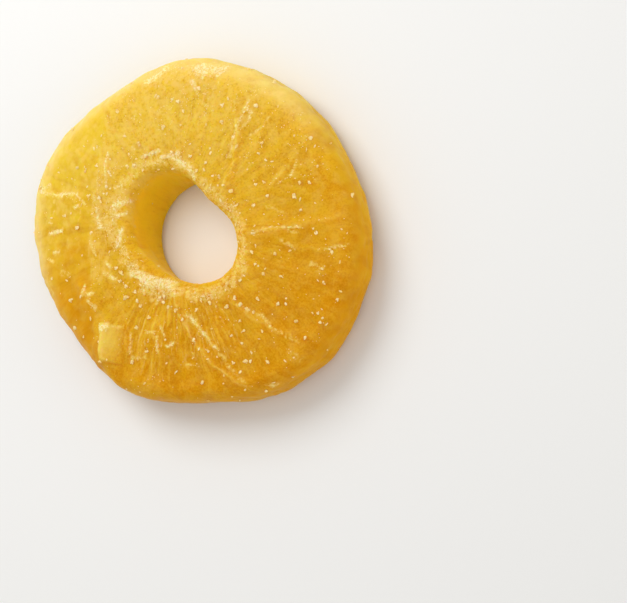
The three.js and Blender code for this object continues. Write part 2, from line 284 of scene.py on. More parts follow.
FACE_STROKES = [
    ((147, 82), (163, 70), 0.9, 0.7), ((165, 66), (199, 65), 1.3, 0.5),
    ((200, 68), (219, 67), 1.5, 0.7), ((145, 83), (223, 72), 1.9, 0.35),
    ((203, 72), (203, 78), 0.35, 0.7), ((218, 72), (217, 76), 0.35, 0.7),
    ((222, 64), (232, 66), 0.5, 0.5), ((192, 83), (196, 90), 0.6, 0.8),
    ((203, 103), (209, 106), 0.7, 0.5), ((213, 89), (219, 83), 0.35, 0.6),
    ((208, 100), (215, 94), 0.35, 0.5), ((184, 126), (190, 112), 0.3, 0.5),
    ((170, 125), (174, 117), 0.3, 0.5), ((154, 116), (165, 112), 0.7, 0.4),
    ((281, 240), (295, 249), 0.5, 0.5), ((312, 264), (322, 270), 0.7, 0.5),
    ((268, 206), (288, 214), 0.5, 0.4), ((288, 350), (299, 358), 0.6, 0.35),
    ((266, 386), (280, 384), 0.6, 0.8), ((192, 352), (196, 360), 0.3, 0.6),
    ((186, 364), (198, 366), 0.3, 0.5), ((147, 332), (155, 332), 0.3, 0.7),
    ((157, 337), (157, 352), 0.3, 0.9), ((160, 326), (165, 337), 0.25, 0.8),
    ((168, 346), (173, 343), 0.5, 0.9), ((130, 359), (144, 357), 0.6, 0.5),
]
SEAM_STROKES = [
    ((253, 84), (248, 101), 0.3, 0.5), ((248, 101), (245, 109), 0.4, 0.7),
    ((246, 108), (251, 112), 0.4, 0.9), ((251, 112), (249, 119), 0.3, 0.8),
    ((245, 109), (236, 126), 0.35, 0.9), ((236, 127), (233, 137), 0.4, 0.7),
    ((233, 137), (230, 156), 0.5, 0.6), ((249, 119), (238, 132), 0.4, 0.45),
    ((269, 116), (263, 126), 0.25, 0.5), ((263, 126), (250, 135), 0.25, 0.6),
    ((297, 160), (291, 175), 0.25, 0.8), ((291, 175), (277, 184), 0.25, 0.7),
    ((252, 233), (272, 227), 0.25, 0.7), ((272, 227), (300, 227), 0.25, 0.8),
    ((288, 231), (297, 232), 0.5, 0.5), ((316, 250), (330, 249), 0.2, 0.6),
    ((330, 248), (346, 245), 0.3, 0.8), ((234, 302), (248, 310), 0.35, 0.45),
    ((248, 310), (262, 316), 0.4, 0.5), ((262, 316), (270, 326), 0.4, 0.5),
    ((270, 326), (299, 343), 0.3, 0.5), ((187, 315), (194, 321), 0.6, 0.8),
    ((194, 321), (204, 334), 0.45, 0.7), ((204, 334), (215, 347), 0.4, 0.7),
    ((215, 347), (229, 367), 0.4, 0.5), ((229, 367), (247, 386), 0.4, 0.4),
]
KNOT_AND_FLAP_STROKES = [
    ((82, 295), (85, 286), 0.4, 1.0), ((87, 295), (92, 293), 0.5, 1.0),
    ((88, 301), (95, 308), 0.5, 0.8), ((101, 328), (105, 326), 0.7, 1.0),
    ((106, 326), (123, 327), 0.45, 0.45), ((131, 333), (130, 352), 0.25, 0.8),
    ((101, 332), (102, 357), 0.8, 0.4),
]

# The photograph's view of the ring: how the face is turned, how far off it is, and where its middle shows
VIEW_TILT = 28.0
VIEW_TURN = 167.0
VIEW_DISTANCE = 600.0
MM_PER_PIXEL = 0.20
PICTURE = (627, 603)
RING_MIDDLE_AT = (205.5, 234.3)
RING_MIDDLE = Vector((2.57, -0.37, 6.0))
FACE_LOOKS = 8

tilt = math.radians(VIEW_TILT)
turn = math.radians(VIEW_TURN)
# the ring's own axes as the camera sees them: out of the face, up it and across it
out_of_face = Vector((math.sin(tilt) * math.cos(turn), math.sin(tilt) * math.sin(turn), math.cos(tilt)))
up_face = (Vector((0, 1, 0)) - out_of_face * out_of_face.y).normalized()
across_face = up_face.cross(out_of_face)
camera_axes = Matrix((across_face, up_face, out_of_face))
focal_pixels = VIEW_DISTANCE / MM_PER_PIXEL
ring_ray = Vector((RING_MIDDLE_AT[0] - PICTURE[0] / 2, PICTURE[1] / 2 - RING_MIDDLE_AT[1], -focal_pixels))
camera_turn = camera_axes @ ring_ray.rotation_difference(Vector((0, 0, -1))).to_matrix()
stand = RING_MIDDLE + camera_axes @ Vector((0, 0, VIEW_DISTANCE))


# where on the face a place in the photograph lies: its ray is followed down to the uneven face in a few looks
def seen_at(column, row):
    ray = camera_turn @ Vector((column - PICTURE[0] / 2, PICTURE[1] / 2 - row, -focal_pixels))
    height = THICKNESS
    for _ in range(FACE_LOOKS):
        spot = stand + ray * ((height - stand.z) / ray.z)
        height = face_height(math.atan2(spot.y, spot.x), math.hypot(spot.x, spot.y))
    return spot.x, spot.y


def smear_at(x, y, start, end, wide, white):
    run_x, run_y = end[0] - start[0], end[1] - start[1]
    along = np.clip(((x - start[0]) * run_x + (y - start[1]) * run_y) / (run_x ** 2 + run_y ** 2), 0, 1)
    away = np.hypot(x - start[0] - along * run_x, y - start[1] - along * run_y) / wide
    return white * np.exp(-away * away)


# What each point of the surface knows about its place, for the relief, the colour and the sugar.
# A pair is where a mark starts and where it is full, mostly as a share of the thickness.
UPPER = (0.72, 0.97)
NEAR_TOP = (0.62, 0.9)
OFF_GROUND = (0.1, 0.2)
RELIEF_STARTS = (0.0, 0.15)
PAST_SLOPE_START = (-0.5, 1.5)
# the pale rim is painted light: thin edges on the lit side painted paler, as if light came through them
PALE_RIM = {"edge": (0.86, 0.98), "light": (0.45, 0.8), "height": (0.3, 0.9)}
# the haze of fine sugar lies only towards the light, so its paleness is partly painted light
HAZE = {"light": (0.5, 1.0), "less_on_slope": 0.6}
HOLE_WALL = {"from_mouth": (0.0, 1.6), "height": (-0.3, 0.8)}

# the flesh is painted lightest towards the top left, where the light falls, and deeper towards the bottom
# right, partly its own tone and partly painted light and shade: share in the middle, rightwards and upwards
LIGHT_AND_SHADE_SLANT = (0.5, -0.3, 0.55)
# the wall of the hole is painted paler, painted light for the light that comes through it, and the low end of
# the slope is painted deeper, partly its own tone and partly painted shade
HOLE_PAINTED_PALER = 0.4
LOW_SLOPE = {"deeper": 0.36, "from_y": 6, "full_at_y": -14}
# the loosened flap is painted palest at its raised left edge, partly its frost and paler flesh and partly
# painted light, and the pulp just right of it is painted deeper as its shadow
FLAP_FADE = {"across": 6.4, "along": 0.7}
FLAP_SHADE = {"from": 0.8, "to": 2.6, "fades": (3.6, 4.6), "ends": (3.5, 5.5), "deeper": 0.36}
# how thickly fine sugar and single flecks lie in each place, and how strongly each place shows its look; the
# fine sugar lies thicker on the lit side, which is partly painted light
SUGARED = {"face": 0.02, "lighter_side": 0.1, "crust": 0.4, "seams": 0.03, "strokes": 0.13, "ridge": 0.1,
           "collar": 0.07, "slope": 0.012}
FLECKED = {"face": 0.13, "slope": 0.1, "crust": 0.6, "collar": 0.15, "elsewhere": 0.03}
DEEPEST = 1.2
FIBROUS = {"everywhere": 0.2, "bare": 0.75, "less_on_slope": 0.6}
STREAKED = {"collar": 0.7, "ridge": 0.3}
# the crests of the seams are painted paler, partly their tougher flesh and partly a painted highlight along
# the crest
SEAM_PALENESS = 0.5
CRUST_FROST = 0.5
# stretches where the fibres of the pulp lie bare: middle, half-width across, strength
BARE_FIBRES = [((-4.0, -21.0), 8.0, 1.0), ((9.0, -20.0), 7.0, 0.7), ((1.0, 22.0), 8.0, 0.6),
               ((17.0, -5.0), 7.0, 0.4), ((-17.0, 4.0), 6.0, 0.6), ((12.0, 12.0), 6.0, 0.5),
               ((-13.0, 22.0), 8.0, 0.6), ((6.0, 27.0), 6.0, 0.6)]

x, y = spots[..., 0], spots[..., 1]
angle, reach = np.arctan2(y, x), np.hypot(x, y)
height_share = plain_height / THICKNESS
upper = ease(*UPPER, height_share)
near_top = ease(*NEAR_TOP, height_share)
off_ground = ease(*OFF_GROUND, height_share)

beyond_ridge = -x - slope_start_at(y)
on_slope = ease(*PAST_SLOPE_START, beyond_ridge)
on_face = upper * (1 - on_slope)
bends = np.sin(RIDGE_BENDS["long"] * y + 1) + RIDGE_BENDS["short_share"] * np.sin(RIDGE_BENDS["short"] * y)
past_ridge = beyond_ridge + RIDGE["wander"] * bends
along_ridge = ease(RIDGE["from_y"] - RIDGE["starts_over"], RIDGE["from_y"], y)
along_ridge = along_ridge * (1 - ease(RIDGE["to_y"] - RIDGE["ends_over"], RIDGE["to_y"], y))
down_slope = 1 - ease(0, RIDGE["outside"], past_ridge)
ridge = ease(-RIDGE["inside"], 0, past_ridge) * down_slope * upper * along_ridge
collar = ease(-RIDGE["collar"], -RIDGE["inside"], past_ridge) * down_slope * upper * along_ridge

from_mouth = plain_radius - HOLE_RADIUS
in_hole = (1 - ease(*HOLE_WALL["from_mouth"], from_mouth)) * (1 - upper)
in_hole = in_hole * ease(*HOLE_WALL["height"], height_share)
left_of_mouth = (1 - np.cos(angle - math.radians(CRUST["narrow_towards"]))) / 2
crust_start = CRUST["start"] + CRUST["clear"] * left_of_mouth
crust_end = CRUST["narrow"] + CRUST["broader"] * left_of_mouth
crust_end = crust_end + waves(angle, CRUST_EDGE) * (CRUST["ragged"] + left_of_mouth)
crust = near_top * ease(crust_start, crust_start + CRUST["rise"], from_mouth)
crust = crust * (1 - ease(crust_end, crust_end + CRUST["fade"], from_mouth))

crests = sum(seam["high"] / SEAMS[0]["high"]
             * seam_at(angle, reach, seam, SEAM_LINE, SEAM_CREST["crook"]) for seam in SEAMS)
strokes = BEVEL_STROKES + RIDGE_STROKES + CRUST_STROKES + FACE_STROKES + SEAM_STROKES + KNOT_AND_FLAP_STROKES
smears = sum(smear_at(x, y, seen_at(*start), seen_at(*end), wide, white)
             for start, end, wide, white in strokes)
bare = sum(share * np.exp(-((x - at[0]) ** 2 + (y - at[1]) ** 2) / wide ** 2)
           for at, wide, share in BARE_FIBRES)

lit_top_left_share = np.clip(LIGHT_AND_SHADE_SLANT[0] + (LIGHT_AND_SHADE_SLANT[1] * x + LIGHT_AND_SHADE_SLANT[2] * y) / OUTER_RADIUS, 0, 1)
lit_pale_rim = ease(*PALE_RIM["edge"], reach / outline_at(angle, THICKNESS)) * ease(*PALE_RIM["light"], lit_top_left_share)
lit_pale_rim = lit_pale_rim * ease(*PALE_RIM["height"], height_share)
haze_where_lit = near_top * ease(*HAZE["light"], lit_top_left_share) * (1 - HAZE["less_on_slope"] * on_slope)
right_of_flap = x - FLAP["at"][0]
# a painted shadow just right of the raised flap
painted_shadow_beside_flap = ease(FLAP_SHADE["from"], FLAP_SHADE["to"], right_of_flap)
painted_shadow_beside_flap = painted_shadow_beside_flap * (1 - ease(*FLAP_SHADE["fades"], right_of_flap))
painted_shadow_beside_flap = painted_shadow_beside_flap * (1 - ease(*FLAP_SHADE["ends"], np.abs(y - FLAP["at"][1])))
flap = in_flap(x, y) * upper * np.clip(1 - (right_of_flap + FLAP["wide"] / 2) / FLAP_FADE["across"], 0, 1)
flap = flap * (1 - FLAP_FADE["along"] * ease(0, FLAP["long"] / 2, FLAP["at"][1] - y))
low_on_slope = on_slope * ease(LOW_SLOPE["from_y"], LOW_SLOPE["full_at_y"], y)
# how amber each point is painted: its own tone, with painted shade away from the light and at the low end of
# the slope, a painted shadow beside the flap and painted light on the hole wall
amber_tone_with_painted_light_and_shade = (1 - lit_top_left_share - HOLE_PAINTED_PALER * in_hole + FLAP_SHADE["deeper"] * painted_shadow_beside_flap
            + LOW_SLOPE["deeper"] * low_on_slope)
sugared = (on_face * (SUGARED["face"] + SUGARED["lighter_side"] * lit_top_left_share) + SUGARED["crust"] * crust ** 2
           + upper * (SUGARED["seams"] * crests + SUGARED["strokes"] * smears)
           + SUGARED["ridge"] * ridge + SUGARED["collar"] * collar + SUGARED["slope"] * upper * on_slope)
flecked = (FLECKED["face"] * on_face + FLECKED["slope"] * upper * on_slope + FLECKED["crust"] * crust ** 2
           + FLECKED["collar"] * collar + FLECKED["elsewhere"] * off_ground)
fibrous = np.clip(FIBROUS["everywhere"] + FIBROUS["bare"] * bare, 0, 1)
marks = {
    "amber": np.clip(amber_tone_with_painted_light_and_shade, 0, DEEPEST),
    "face": on_face,
    "upper": near_top,
    "fibre": fibrous * upper * (1 - FIBROUS["less_on_slope"] * on_slope),
    "inside": in_hole,
    "rim": lit_pale_rim,
    "haze": haze_where_lit,
    "collar": np.clip(STREAKED["collar"] * collar + STREAKED["ridge"] * ridge, 0, 1),
    "seam": np.clip(SEAM_PALENESS * upper * crests, 0, 1),
    "flap": flap,
    "frost": np.clip(CRUST_FROST * crust + near_top * smears, 0, 1),
    "sugar": np.clip(sugared, 0, 1),
    "fleck": np.clip(flecked, 0, 1),
    "relief": ease(*RELIEF_STARTS, height_share),
}

# the fibres run outwards, so the place that their pattern reads is stretched along the radius
FIBRE_RADIUS = 24.0
FIBRE_STRETCH = 8.0
FIBRE_DEPTH = 3.0
fibre_place = np.stack([
    FIBRE_RADIUS * np.cos(angle),
    FIBRE_RADIUS * np.sin(angle),
    reach / FIBRE_STRETCH + spots[..., 2] / FIBRE_DEPTH,
], -1)

# round the mouth and along the ridge the dried syrup lies in streaks that run across the fibres
STREAK_STRETCH = 5.0
NEAR_RIDGE = (-6, -1.5)
near_ridge = ease(*NEAR_RIDGE, beyond_ridge)
streak_place = np.stack([
    near_ridge * beyond_ridge + (1 - near_ridge) * (reach - SLOPE["start"]),
    y / STREAK_STRETCH,
    np.zeros_like(y),
], -1)


def ring_mesh(name, points):
    rows, columns = points.shape[:2]
    corner = np.arange(rows * columns).reshape(rows, columns)
    beside = np.roll(corner, -1, 0)
    faces = np.stack([corner, beside, np.roll(beside, -1, 1), np.roll(corner, -1, 1)], -1)
    mesh = bpy.data.meshes.new(name)
    mesh.from_pydata(points.reshape(-1, 3).tolist(), [], faces.reshape(-1, 4).tolist())
    mesh.shade_smooth()
    return mesh


flesh_mesh = ring_mesh("candied_flesh", (spots + to_packed) * MM)
for name, values in marks.items():
    flesh_mark = flesh_mesh.attributes.new(name, "FLOAT", "POINT")
    flesh_mark.data.foreach_set("value", values.astype(np.float32).ravel())
for name, values in (("fibre_place", fibre_place), ("streak_place", streak_place)):
    place_mark = flesh_mesh.attributes.new(name, "FLOAT_VECTOR", "POINT")
    place_mark.data.foreach_set("vector", (values * MM).astype(np.float32).ravel())


def add_node(tree, kind, inputs=None, **settings):
    node = tree.nodes.new(kind)
    for name, value in settings.items():
        setattr(node, name, value)
    for key, value in (inputs or {}).items():
        # a node given as an input stands for its first output
        if isinstance(value, bpy.types.Node):
            value = value.outputs[0]
        if isinstance(value, bpy.types.NodeSocket):
            tree.links.new(value, node.inputs[key])
        else:
            node.inputs[key].default_value = value
    return node


def linear(hex_colour):
    channels = [int(hex_colour[start:start + 2], 16) / 255 for start in (1, 3, 5)]
    return tuple(c / 12.92 if c <= 0.04045 else ((c + 0.055) / 1.055) ** 2.4 for c in channels) + (1.0,)


# the kind of input that a tree has for each kind of size
SOCKETS = {float: "NodeSocketFloat", int: "NodeSocketInt", bpy.types.Material: "NodeSocketMaterial"}


def geometry_tree(name, sizes):
    tree = bpy.data.node_groups.new(name, "GeometryNodeTree")
    tree.interface.new_socket("Geometry", in_out="INPUT", socket_type="NodeSocketGeometry")
    for label, value in sizes.items():
        tree.interface.new_socket(label, in_out="INPUT", socket_type=SOCKETS[type(value)])
    tree.interface.new_socket("Geometry", in_out="OUTPUT", socket_type="NodeSocketGeometry")
    return tree, tree.nodes.new("NodeGroupInput").outputs


def shape_by_tree(piece, tree, sizes):
    modifier = piece.modifiers.new(tree.name, "NODES")
    modifier.node_group = tree
    sockets = {item.name: item.identifier for item in tree.interface.items_tree if item.in_out == "INPUT"}
    for label, value in sizes.items():
        modifier[sockets[label]] = value
    evaluated = piece.evaluated_get(bpy.context.evaluated_depsgraph_get())
    finished = bpy.data.meshes.new_from_object(evaluated)
    piece.modifiers.clear()
    piece.data = finished


# Candied pineapple flesh: sugared, half-dried pulp. It is translucent, so light sinks in and comes out deeper
# yellow; it is moist and smooth where it was peeled, and dull with fine sugar on the cut face.
flesh_material = bpy.data.materials.new("candied_pineapple_flesh")
flesh_material.use_nodes = True
tree = flesh_material.node_tree
flesh_shader = tree.nodes["Principled BSDF"]
flesh_shader.inputs["IOR"].default_value = 1.42
flesh_shader.inputs["Specular IOR Level"].default_value = 0.06
flesh_shader.inputs["Subsurface Weight"].default_value = 0.85
flesh_shader.inputs["Subsurface Radius"].default_value = (1.0, 0.5, 0.08)
flesh_shader.inputs["Subsurface Scale"].default_value = 0.005

YELLOW = "#e6c12b"
# the glow of the hole wall, painted light
GLOW = "#ffce1e"
MOTTLE = "#ecba2e"
AMBER = "#da9802"
DEEP = "#c67c02"
STRAW = "#eebf38"
FINE_SUGAR = "#f0cd62"
PALE_SEAM = "#f3d57c"
FLAP_YELLOW = "#f0d766"
FROST = "#edc964"
CREAM = "#fbe9b2"

# the fibres and the streaks wander a little on their way
WANDER = {"size": 4.0, "reach": 1.6}
plain_place = add_node(tree, "ShaderNodeTexCoord").outputs["Object"]
wander = add_node(tree, "ShaderNodeTexNoise", {"Vector": plain_place, "Scale": 1 / (WANDER["size"] * MM),
                                               "Detail": 1.0}).outputs["Color"]
wander = add_node(tree, "ShaderNodeVectorMath", {0: wander, 3: WANDER["reach"] * MM}, operation="SCALE")
places = {"plain_place": plain_place}
for name in ("fibre_place", "streak_place"):
    straight = add_node(tree, "ShaderNodeAttribute", attribute_name=name).outputs["Vector"]
    bent = add_node(tree, "ShaderNodeVectorMath", {0: straight, 1: wander}, operation="ADD")
    places[name] = bent.outputs[0]

# patterns in the pulp and the sugar: the place each reads, its size in mm, its detail and its roughness
PATTERNS = {
    "patches": ("plain_place", 3.5, 3.0, 0.5),
    "clouds": ("plain_place", 2.1, 2.0, 0.6),
    "grains": ("plain_place", 0.42, 2.0, 0.65),
    "crumbs": ("plain_place", 0.9, 3.0, 0.6),
    "fibres": ("fibre_place", 0.8, 3.0, 0.6),
    "veins": ("fibre_place", 1.9, 2.0, 0.5),
    "threads": ("fibre_place", 0.55, 1.0, 0.5),
    "streaks": ("streak_place", 0.75, 3.0, 0.6),
}
look = {}
for name, (place_name, size_mm, detail, roughness) in PATTERNS.items():
    pattern = add_node(tree, "ShaderNodeTexNoise", {
        "Vector": places[place_name], "Scale": 1 / (size_mm * MM), "Detail": detail, "Roughness": roughness,
    })
    look[name] = pattern.outputs["Fac"]
for name in ("amber", "face", "upper", "fibre", "inside", "rim", "haze", "collar", "seam", "flap", "frost",
             "sugar", "height"):
    look[name] = add_node(tree, "ShaderNodeAttribute", attribute_name=name).outputs["Fac"]

# where more syrup or sugar has dried, its streaks, crumbs and grains run together
for name, mark_name, push, pattern_name in (("thick_streaks", "collar", 0.25, "streaks"),
                                            ("thick_crumbs", "frost", 0.32, "crumbs"),
                                            ("thick_grains", "frost", 0.22, "grains")):
    thick = add_node(tree, "ShaderNodeMath", {0: look[mark_name], 1: push, 2: look[pattern_name]},
                     operation="MULTIPLY_ADD")
    look[name] = thick.outputs[0]
# the flesh deepens towards amber in patches of a few millimetres
patchy = add_node(tree, "ShaderNodeMapRange", {"Value": look["patches"], "From Min": 0.3, "From Max": 0.7,
                                               "To Min": -0.18, "To Max": 0.18})
look["tone"] = add_node(tree, "ShaderNodeMath", {0: look["amber"], 1: patchy}, operation="ADD")

# Coats over the yellow ground, each over the last: its colour and what limits it. A limit names a pattern or
# a mark, then two of its values, then the shares of the coat that lie there.
COATS = [
    # yellow towards the top left, amber towards the bottom right: partly the flesh's own tone, partly painted
    # light and shade, with the painted light on the hole wall and the painted shadow beside the flap
    (AMBER, [("tone", 0.05, 0.95, 0.0, 1.0)]),
    # the wall of the hole is clear: its glow is painted light, for the light that comes through it from
    # behind
    (GLOW, [("inside", 0.0, 1.0, 0.0, 1.0)]),
    # deeper in the veins between fibres, and deeper where the pulp dips, which is painted shade; paler where
    # it swells
    (DEEP, [("veins", 0.5, 0.66, 0.0, 1.0), ("inside", 0.0, 1.0, 0.35, 0.0)]),
    (DEEP, [("height", 0.0, -0.3, 0.0, 0.3)]),
    (STRAW, [("height", 0.08, 0.35, 0.0, 0.4)]),
    # fibres, paler than the pulp, with a few thin threads among them
    (STRAW, [("fibres", 0.5, 0.64, 0.0, 1.0), ("fibre", 0.0, 1.0, 0.1, 0.8)]),
    (PALE_SEAM, [("threads", 0.6, 0.68, 0.0, 1.0), ("fibre", 0.2, 1.0, 0.0, 0.55)]),
    # on the cut face a mottle of half a millimetre, of dissolved sugar and of deeper flesh between
    (MOTTLE, [("grains", 0.46, 0.62, 0.0, 1.0), ("face", 0.0, 1.0, 0.05, 0.3),
              ("amber", 0.2, 0.7, 1.8, 1.0)]),
    (DEEP, [("grains", 0.46, 0.36, 0.0, 1.0), ("face", 0.0, 1.0, 0.05, 0.3),
            ("amber", 0.2, 0.7, 1.8, 1.0)]),
    # sugar too fine to see as grains: strewn, as a haze on the lit side, which is partly painted light there,
    # and in clouds
    (FINE_SUGAR, [("crumbs", 0.47, 0.62, 0.0, 1.0), ("sugar", 0.05, 0.4, 0.0, 0.7)]),
    (FINE_SUGAR, [("crumbs", 0.4, 0.6, 0.1, 0.6), ("haze", 0.0, 1.0, 0.0, 1.0)]),
    (FINE_SUGAR, [("clouds", 0.46, 0.72, 0.0, 0.65), ("upper", 0.0, 1.0, 0.0, 1.0),
                  ("amber", 0.2, 0.8, 1.0, 0.25)]),
    # paler coats: thin edges on the lit side, painted light for the light that comes through them, and the
    # loosened flap and the seams' crests, each partly painted light
    # thin edges on the lit side: painted light
    (PALE_SEAM, [("rim", 0.0, 1.0, 0.0, 1.0), ("clouds", 0.3, 0.7, 0.55, 0.95)]),
    # the loosened flap, paler partly by its frost and flesh and partly by painted light on its raised left
    # edge
    (FLAP_YELLOW, [("flap", 0.0, 1.0, 0.0, 0.85)]),
    # the seams' crests: partly paler flesh, partly a painted highlight
    (PALE_SEAM, [("seam", 0.0, 1.0, 0.0, 1.0), ("crumbs", 0.4, 0.6, 0.15, 0.8)]),
    # streaks of dried syrup, then the frost of the crust and the strokes, whitest on its crumbs
    (FROST, [("thick_streaks", 0.62, 0.8, 0.0, 0.5), ("collar", 0.0, 0.2, 0.0, 1.0)]),
    (FROST, [("thick_crumbs", 0.56, 0.78, 0.0, 0.95), ("frost", 0.0, 0.25, 0.0, 1.0)]),
    (CREAM, [("thick_grains", 0.62, 0.82, 0.0, 1.0), ("frost", 0.3, 0.8, 0.0, 1.0)]),
]
colour = linear(YELLOW)
for paint, limits in COATS:
    share = 1.0
    for name, first_value, last_value, first_share, last_share in limits:
        limit = add_node(tree, "ShaderNodeMapRange", {
            "Value": look[name], "From Min": first_value, "From Max": last_value,
            "To Min": first_share, "To Max": last_share,
        })
        share = add_node(tree, "ShaderNodeMath", {0: limit, 1: share}, operation="MULTIPLY")
    coated = add_node(tree, "ShaderNodeMix", {0: share, 6: colour, 7: linear(paint)}, data_type="RGBA")
    colour = coated.outputs[2]
tree.links.new(colour, flesh_shader.inputs["Base Color"])

# moist and smooth where it was peeled, dull with fine sugar on the cut face and under the frost
dull = add_node(tree, "ShaderNodeMath", {0: look["face"], 1: look["frost"]}, operation="MAXIMUM")
dulled = add_node(tree, "ShaderNodeMapRange", {"Value": dull, "To Min": 0.36, "To Max": 0.6})
patchy = add_node(tree, "ShaderNodeMapRange", {"Value": look["patches"], "From Min": 0.3, "From Max": 0.7,
                                               "To Min": -0.06, "To Max": 0.06})
roughness = add_node(tree, "ShaderNodeMath", {0: dulled, 1: patchy}, operation="ADD").outputs[0]
tree.links.new(roughness, flesh_shader.inputs["Roughness"])

# what is finer than the relief of the mesh: pattern, height in mm, mark, strength without and with it
bumped = None
for name, high, mark, least, most in (("grains", 0.12, dull, 0.25, 0.8),
                                      ("fibres", 0.25, look["fibre"], 0.1, 0.6)):
    strength = add_node(tree, "ShaderNodeMapRange", {"Value": mark, "To Min": least, "To Max": most})
    bump_inputs = {"Height": look[name], "Distance": high * MM, "Strength": strength}
    if bumped:
        bump_inputs["Normal"] = bumped
    bumped = add_node(tree, "ShaderNodeBump", bump_inputs).outputs["Normal"]
tree.links.new(bumped, flesh_shader.inputs["Normal"])

# Relief of the pulp, along each point's own direction: swellings, fibres, pits and, in the crust, grain
relief_sizes = {
    "Swell Size": 7.0 * MM,
    "Swell Height": 0.45 * MM,
    "Fibre Spacing": 1.1 * MM,
    "Fibre Height": 0.3 * MM,
    "Pit Size": 2.2 * MM,
    "Pit Depth": 0.45 * MM,
    "Grain Size": 0.8 * MM,
    "Grain Height": 0.5 * MM,
    "Frost Height": 0.08 * MM,
    "Seed": 4.0,
    "Flesh": flesh_material,
}
tree, size = geometry_tree("pulp_relief", relief_sizes)
position = add_node(tree, "GeometryNodeInputPosition")
direction = add_node(tree, "GeometryNodeInputNormal")
mark = {}
for name, kind in (("fibre_place", "FLOAT_VECTOR"), ("fibre", "FLOAT"), ("frost", "FLOAT"),
                   ("relief", "FLOAT")):
    read = add_node(tree, "GeometryNodeInputNamedAttribute", {"Name": name}, data_type=kind)
    mark[name] = read.outputs["Attribute"]

# forms of the relief: size, height, place and detail of the noise, how far below and above its middle it
# counts, how strongly, and the share of it without a mark and with it
FORMS = [
    ("Swell Size", "Swell Height", position, 1.0, (-0.5, 0.5), 2.0, "relief", (1.0, 1.0)),
    ("Fibre Spacing", "Fibre Height", mark["fibre_place"], 2.0, (-0.5, 0.5), 2.0, "fibre", (0.3, 1.2)),
    ("Pit Size", "Pit Depth", position, 2.0, (-0.5, 0.0), 2.0, "relief", (1.0, 1.0)),
    ("Grain Size", "Grain Height", position, 3.0, (-0.1, 0.5), 1.0, "frost", (0.15, 1.6)),
]
lift = add_node(tree, "ShaderNodeMath", {0: mark["frost"], 1: size["Frost Height"]}, operation="MULTIPLY")
for wide, high, place, detail, (lowest, highest), strength, where, (least, most) in FORMS:
    scale = add_node(tree, "ShaderNodeMath", {0: 1.0, 1: size[wide]}, operation="DIVIDE")
    pattern = add_node(tree, "ShaderNodeTexNoise", {"Vector": place, "W": size["Seed"], "Scale": scale,
                                                    "Detail": detail}, noise_dimensions="4D")
    counted = add_node(tree, "ShaderNodeMapRange", {
        "Value": pattern, "From Min": 0.5 + lowest, "From Max": 0.5 + highest,
        "To Min": strength * lowest, "To Max": strength * highest,
    })
    share = add_node(tree, "ShaderNodeMapRange", {"Value": mark[where], "To Min": least, "To Max": most})
    counted = add_node(tree, "ShaderNodeMath", {0: counted, 1: share}, operation="MULTIPLY")
    lift = add_node(tree, "ShaderNodeMath", {0: counted, 1: size[high], 2: lift}, operation="MULTIPLY_ADD")
lift = add_node(tree, "ShaderNodeMath", {0: lift, 1: mark["relief"]}, operation="MULTIPLY")
offset = add_node(tree, "ShaderNodeVectorMath", {0: direction, 3: lift}, operation="SCALE")
moved = add_node(tree, "GeometryNodeSetPosition", {"Geometry": size["Geometry"], "Offset": offset})
in_mm = add_node(tree, "ShaderNodeMath", {0: lift, 1: 1 / MM}, operation="MULTIPLY")
kept = add_node(tree, "GeometryNodeStoreNamedAttribute", {"Geometry": moved, "Name": "height",
                                                          "Value": in_mm}, data_type="FLOAT", domain="POINT")
real = add_node(tree, "GeometryNodeRealizeInstances", {"Geometry": kept})
covered = add_node(tree, "GeometryNodeSetMaterial", {"Geometry": real, "Material": size["Flesh"]})
add_node(tree, "NodeGroupOutput", {"Geometry": covered})

candied_flesh = bpy.data.objects.new("candied_flesh", flesh_mesh)
bpy.context.scene.collection.objects.link(candied_flesh)
shape_by_tree(candied_flesh, tree, relief_sizes)
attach(candied_flesh, "root")
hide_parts("pineapple_ring")


# The sugar
# Coarse sugar that dried onto the moist pulp: lumps crusted round the mouth of the hole and strewn about,
# single flecks on the face, and fine grains wherever the surface is frosted, each half sunk in the flesh.

# Dried sugar: pale cream, clouded crystals stuck together by syrup, so they look soft and clouded, not clear.
sugar_material = bpy.data.materials.new("dried_cream_sugar")
sugar_material.use_nodes = True
sugar_shader = sugar_material.node_tree.nodes["Principled BSDF"]
sugar_shader.inputs["Roughness"].default_value = 0.5
sugar_shader.inputs["IOR"].default_value = 1.54
sugar_shader.inputs["Specular IOR Level"].default_value = 0.3
SUGAR_PALE = "#fdebb0"
SUGAR_SYRUPY = "#f3d074"
tree = sugar_material.node_tree
CLOUDY_SIZE = 0.8
sugar_place = add_node(tree, "ShaderNodeTexCoord").outputs["Object"]
cloudy = add_node(tree, "ShaderNodeTexNoise", {"Vector": sugar_place, "Scale": 1 / (CLOUDY_SIZE * MM)})
paler = add_node(tree, "ShaderNodeMapRange", {"Value": cloudy.outputs["Fac"], "From Min": 0.35,
                                              "From Max": 0.62})
sugar_colour = add_node(tree, "ShaderNodeMix", {0: paler, 6: linear(SUGAR_SYRUPY),
                                                7: linear(SUGAR_PALE)}, data_type="RGBA")
tree.links.new(sugar_colour.outputs[2], sugar_shader.inputs["Base Color"])

# how uneven a crystal is: the size of its bumps and how far they stand out, as shares of its half-width
BUMPS_ACROSS = 0.8
BUMPS_REACH = 1.1


